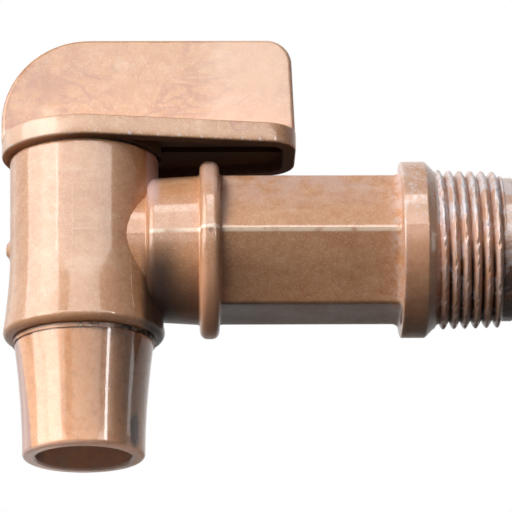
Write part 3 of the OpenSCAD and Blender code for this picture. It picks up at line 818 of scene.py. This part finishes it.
def slab(outline, centre, half, low_edge, high_edge):
    """Rows of a rounded slab: each ring is the outline drawn in by its inset and scaled towards the
    centre, at a height of plus or minus (half thickness there - drop). half takes the outline's
    second coordinate."""
    points, outs = outline
    centre = np.array(centre)
    rows = []
    for side, profile in ((-1, edge(low_edge)), (1, edge(high_edge)[::-1])):
        flat = points - outs * profile[:, 0].max()
        fill = [centre + share * (flat - centre) for share in (0.0, 0.4, 0.75, 0.92)]
        rings = [points - outs * inset for inset in profile[:, 0]]
        drops = [0.0] * len(fill)
        if side < 0:
            rings, drops = fill + rings, drops + profile[:, 1].tolist()
        else:
            rings, drops = rings + fill[::-1], profile[:, 1].tolist() + drops
        for ring, drop in zip(rings, drops):
            height = side * (half(ring[:, 1]) - drop)
            rows.append(np.concatenate([ring, height[:, None]], axis=1))
    return np.array(rows)


def level(half):
    """A half thickness that is the same everywhere, as slab takes it."""
    return lambda second: half + 0 * second


def grip_half(height):
    """Half the grip's thickness at a height: a straight draft from foot to top."""
    return GRIP_FOOT_HALF + (GRIP_TOP_HALF - GRIP_FOOT_HALF) * (height - PLATE_TOP) / (GRIP_TOP - PLATE_TOP)


def upright(rows):
    """Rows drawn as (x, z, y) from the valve's axis, stood up in the frame."""
    return rows[:, :, [0, 2, 1]] + (VALVE_X, 0, 0)


def plate_outline(inset, turn_step=5.0):
    """The outline round the plate's three circles, each drawn in by an inset."""
    corner_x, corner_y = HANDLE_REACH - PLATE_CORNER_R, PLATE_END_HALF - PLATE_CORNER_R
    return round_outline([(0.0, 0.0, DISC_R - inset), (corner_x, -corner_y, PLATE_CORNER_R - inset),
                          (corner_x, corner_y, PLATE_CORNER_R - inset)], turn_step)


def grip_outline():
    """The grip seen from the side: small rounds at the foot, a big one over the back and the nose."""
    foot_z = PLATE_TOP - GRIP_SINK + GRIP_FOOT_R
    return round_outline([
        (GRIP_FOOT_R - DISC_R, foot_z, GRIP_FOOT_R),
        (HANDLE_REACH - GRIP_FOOT_R, foot_z, GRIP_FOOT_R),
        (HANDLE_REACH - GRIP_LEAN - GRIP_NOSE_R, GRIP_TOP - GRIP_NOSE_R, GRIP_NOSE_R),
        (GRIP_BACK_R - DISC_R, GRIP_TOP - GRIP_BACK_R, GRIP_BACK_R)], 3.0, 0.9)


def foot_fillet():
    """The fillet along the grip's foot: rows along the plate, each the half profile
    half + f (1 - sin t) at height f (1 - cos t), mirrored. The size f fades out as sqrt(1 - s^8)
    towards both ends."""
    s = np.linspace(-0.999, 0.999, 60)
    along = (HANDLE_REACH - DISC_R) / 2 + s * ((HANDLE_REACH + DISC_R) / 2 - 0.6)
    size = GRIP_FILLET * np.sqrt(1 - s ** 8)[:, None]
    t = np.radians(np.linspace(0, 90, 7))
    side = np.concatenate([GRIP_FOOT_HALF + size * (1 - np.sin(t)), GRIP_FOOT_HALF - 1 + 0 * size], axis=1)
    rise = np.concatenate([size * (1 - np.cos(t)), size], axis=1)
    across = np.concatenate([side, -side[:, ::-1], -side[:, :1], side[:, :1]], axis=1)
    height = np.concatenate([rise, rise[:, ::-1], 0 * size - 0.5, 0 * size - 0.5], axis=1)
    rings = np.stack([along[:, None] + 0 * across, across, height + PLATE_TOP], axis=2)
    return capped(rings) + (VALVE_X, 0, 0)


def upright_pocket(x0, x1, z0, z1, low_r, high_r, half):
    """Rows of a flat pocket that stands in the grip: a rectangle from x0 to x1 and z0 to z1 with
    rounded corners, and as wide to each side of the grip's middle as half."""
    outline = round_outline([(x0 + low_r, z0 + low_r, low_r), (x1 - low_r, z0 + low_r, low_r),
                             (x1 - high_r, z1 - high_r, high_r), (x0 + high_r, z1 - high_r, high_r)])
    middle = ((x0 + x1) / 2, (z0 + z1) / 2)
    return upright(slab(outline, middle, level(half), POCKET_EDGE, POCKET_EDGE))


plate = slab(plate_outline(0.0, 3.0), PLATE_MIDDLE, level(PLATE_H / 2), PLATE_LOWER_ROUND, PLATE_UPPER_ROUND)
handle = skin("handle_moulding", plate + (VALVE_X, 0, PLATE_LOW + PLATE_H / 2), "turning_plug")
grip = slab(grip_outline(), GRIP_MIDDLE, grip_half, GRIP_EDGE, GRIP_EDGE)
combine(handle, skin("grip", upright(grip)), "UNION")
combine(handle, skin("grip_foot", foot_fillet()), "UNION")

hollow = slab(plate_outline(TRAY_RIM), PLATE_MIDDLE, level(TRAY_H), TRAY_ROUND, TRAY_ROUND)
tray = skin("tray", hollow + (VALVE_X, 0, PLATE_LOW))
combine(tray, turned("hub", np.array([[0, PLATE_LOW - 3], [HUB_R, PLATE_LOW - 3], [HUB_R, PLATE_LOW + 3],
                                      [0, PLATE_LOW + 3]]), 96), "DIFFERENCE")
combine(handle, tray, "DIFFERENCE")
for cutter, rows in (
        ("core", upright_pocket(TANG_HALF + BARB + CORE_WALL, HANDLE_REACH - CORE_WALL, POCKET_LOW,
                                GRIP_TOP - CORE_WALL, 0.6, 2.0, CORE_HALF)),
        ("tang_pocket", upright_pocket(-TANG_HALF, TANG_HALF, POCKET_LOW, TANG_TOP,
                                       0.6, 0.4, TANG_THICK_HALF)),
        ("barb_pocket", upright_pocket(-TANG_HALF - BARB, TANG_HALF + BARB, BARB_LOW, BARB_HIGH,
                                       0.4, 0.4, TANG_THICK_HALF))):
    combine(handle, skin(cutter, rows), "DIFFERENCE")
smooth(handle)
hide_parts("handle")


def shaded_faces(piece):
    """How much painted shade the handle's faces take, from 0 to 1: those that look down, those below the
    plate's top that look in towards its middle, the two pockets' walls, and the hub's."""
    normals, middles = faces_of(piece)
    ahead, across, height = middles[:, 0] - VALVE_X, middles[:, 1], middles[:, 2]
    inward = normals[:, 0] * (ahead - PLATE_MIDDLE[0]) + normals[:, 1] * (across - PLATE_MIDDLE[1])
    in_tray = (inward < -0.2) & (height < PLATE_TOP)
    in_pocket = ((np.abs(across) < TANG_THICK_HALF + 0.1) & (height < GRIP_TOP - 3)
                 & (ahead > -TANG_HALF - 1) & (ahead < HANDLE_REACH - CORE_WALL + 0.1))
    on_hub = (np.abs(np.hypot(ahead, across) - HUB_R) < 0.15) & (height < PLATE_LOW + TRAY_H) & (ahead > 6)
    return np.maximum(looks_down(normals), in_tray | in_pocket | on_hub)


handle_plastic, handle_grain = pigment("handle_plastic", rgb(204, 149, 103), rgb(172, 110, 75),
                                       rgb(246, 216, 186), flow=(70.0, 70.0, 130.0), streaks=0.4,
                                       roughness=0.4, coat_roughness=0.12)
ahead = handle_plastic.x + REACH
above_plate = handle_plastic.z - PLATE_TOP

# Unmixed pigment lies in soft swirls, and the back of the grip is painted darker in patches. The grip's nose
# is painted paler, the plate's side at the back takes a painted highlight, and the plate's lower edge is
# worn in flecks.
swirl_place = handle_plastic.stretched((75.0, 40.0, 150.0))
swirl = handle_plastic.noise(1.0, 3.0, 0.6, place=swirl_place, warp=2.2).near(0.5, 0.004, 0.075)
patches = handle_plastic.noise(90.0, 2.0, 0.5).ramp(0.44, 0.62)
handle_plastic.paint(swirl * patches * 0.45, rgb(160, 100, 80))
# The back of the grip is painted darker in patches.
back_of_grip = ahead.ramp(0.9, -12.6) * handle_plastic.noise(260.0, 3.0, 0.7).ramp(0.35, 0.65)
handle_plastic.paint(back_of_grip * 0.65, rgb(156, 98, 78))
# The grip's nose is painted paler.
nose = ahead.ramp(17.4, 24.4) * above_plate.ramp(0.85, 2.35)
handle_plastic.paint(nose * 0.45, rgb(240, 196, 168))
# Painted highlight: the plate's side at the back is painted pale.
left_band_highlight = ahead.ramp(0.4, -5.6) * above_plate.ramp(1.35, -0.15)
handle_plastic.paint(left_band_highlight * 0.55, rgb(244, 200, 168))
lower_edge = handle_plastic.z.near(PLATE_LOW + 0.4, 0.1, 0.5)
handle_plastic.paint(handle_plastic.noise(1300.0, 3.0, 0.7).ramp(0.56, 0.66) * lower_edge, SCUFFED)

# The plate's underside and the pockets are painted dark, as painted shade, and made dull.
under_shade = face_mask(handle, handle_plastic, "painted_shade", shaded_faces(handle))
handle_plastic.paint(under_shade * ahead.ramp(-9.6, 6.4) * 0.92, rgb(40, 27, 22))
handle_plastic.set(Coat_Weight=COAT - under_shade * 0.44, Roughness=0.4 + under_shade * 0.55,
                   Normal=handle_plastic.bump(handle_grain, RELIEF))
handle_plastic.cover(handle)

# Stage
# A pale floor just under the spout keeps the tap's shadow and is clear from below, so a camera
# under it still sees the tap. It throws back little light, but for a pale patch below the spout.
SEEN_RAYS = ("Is Camera Ray", "Is Glossy Ray", "Is Transmission Ray")
FLOOR_GAP = 0.004
FLOOR_Z = plug_low.z - FLOOR_GAP
FLOOR_HALF = 4.0
floor = bpy.data.objects.new("floor", bpy.data.meshes.new("floor"))
floor.data.from_pydata([(-FLOOR_HALF, -FLOOR_HALF, FLOOR_Z), (FLOOR_HALF, -FLOOR_HALF, FLOOR_Z),
                        (FLOOR_HALF, FLOOR_HALF, FLOOR_Z), (-FLOOR_HALF, FLOOR_HALF, FLOOR_Z)],
                       [], [(0, 1, 2, 3)])
bpy.context.scene.collection.objects.link(floor)
paper = Surface("floor_paper", rgb(243, 242, 240))
paper.set(Roughness=0.9)
camera_ray, glossy_ray, transmission_ray = (
    paper.node("ShaderNodeLightPath", {}, {}, output=ray) for ray in SEEN_RAYS)
seen = camera_ray.over(glossy_ray).over(transmission_ray)
patch = from_axis(paper.x + REACH, paper.y).ramp(26, 12)
shade = paper.node("ShaderNodeBsdfDiffuse", {},
                   {"Color": paper.mix(patch, rgb(40, 39, 38), rgb(214, 208, 200))})
white = Socket(paper, paper.shader.outputs[0])
from_above = paper.node("ShaderNodeMixShader", {}, {0: seen, 1: shade, 2: white})
underside = paper.node("ShaderNodeNewGeometry", {}, {}, output="Backfacing")
clear = paper.node("ShaderNodeBsdfTransparent", {}, {})
floor_shader = paper.node("ShaderNodeMixShader", {}, {0: underside, 1: from_above, 2: clear})
paper.feed(paper.output.inputs["Surface"], floor_shader)
paper.cover(floor)

# The background is white to every ray that sees it, and nearly dark as a light.
SKY_LIGHT = 0.035
world = bpy.data.worlds.new("studio")
bpy.context.scene.world = world
world.use_nodes = True
sky = world.node_tree
light_path = sky.nodes.new("ShaderNodeLightPath")
seen_by = light_path.outputs[SEEN_RAYS[0]]
for ray in SEEN_RAYS[1:]:
    either = sky.nodes.new("ShaderNodeMath")
    either.operation = "MAXIMUM"
    sky.links.new(seen_by, either.inputs[0])
    sky.links.new(light_path.outputs[ray], either.inputs[1])
    seen_by = either.outputs[0]
sky_level = sky.nodes.new("ShaderNodeMapRange")
sky_level.inputs["To Min"].default_value = SKY_LIGHT
sky_level.inputs["To Max"].default_value = 1.0
sky.links.new(seen_by, sky_level.inputs["Value"])
sky.links.new(sky_level.outputs[0], sky.nodes["Background"].inputs["Strength"])
sky.nodes["Background"].inputs["Color"].default_value = (1, 1, 1, 1)

# Four soft panels light the tap. The spout has one of its own, which lights nothing else, and the
# two in front are kept off it. The other panels light nothing and only show in the gloss.
PANEL_DISTANCE = 1.2


def panel(name, azimuth, elevation, wide, high, radiance, lights=False, on_spout=None):
    """A panel that faces the tap: where it stands and how far it reaches, all in degrees as the tap
    sees it, and how bright its face is. It either lights the tap or only shows in its gloss.
    on_spout keeps its light to the spout, as INCLUDE, or off it, as EXCLUDE."""
    light = bpy.data.lights.new(name, "AREA")
    light.shape = "RECTANGLE"
    light.size = 2 * PANEL_DISTANCE * math.tan(math.radians(wide / 2))
    light.size_y = 2 * PANEL_DISTANCE * math.tan(math.radians(high / 2))
    light.energy = radiance * math.pi * light.size * light.size_y
    out = outward(math.radians(azimuth), math.radians(elevation))
    holder = bpy.data.objects.new(name, light)
    holder.location = AIM + out * PANEL_DISTANCE
    holder.rotation_euler = (-out).to_track_quat("-Z", "Y").to_euler()
    holder.visible_diffuse = lights
    holder.visible_glossy = not lights
    if on_spout:
        linked = bpy.data.collections.new(name)
        linked.objects.link(spout)
        linked.collection_objects[0].light_linking.link_state = on_spout
        holder.light_linking.receiver_collection = linked
    bpy.context.scene.collection.objects.link(holder)


panel("key", -46, 33, 28, 28, 10.0, lights=True, on_spout="EXCLUDE")
panel("front_light", -24, 8, 24, 24, 6.8, lights=True, on_spout="EXCLUDE")
panel("spout_light", -50, 28, 17, 17, 41.0, lights=True, on_spout="INCLUDE")
panel("back_light", 160, 30, 40, 40, 2.5, lights=True)
panel("far_left_panel", -118, 19, 46, 24, 1.2)
panel("left_panel", -68, 21, 52, 50, 9.0)
panel("left_core", -55, 19, 26, 18, 4.5)
panel("front_panel", -1, 21, 82, 14, 9.4)
panel("low_panel", -50, 3, 34, 14, 4.5)
panel("low_front_panel", 4, 5, 50, 16, 3.4)
panel("high_panel", 0, 37, 40, 18, 6.8)
panel("top_panel", 0, 53, 40, 14, 13.0)
panel("strip", 41, 6, 5, 18, 30.0)
panel("right_strip", 92, 6, 8, 12, 4.0)
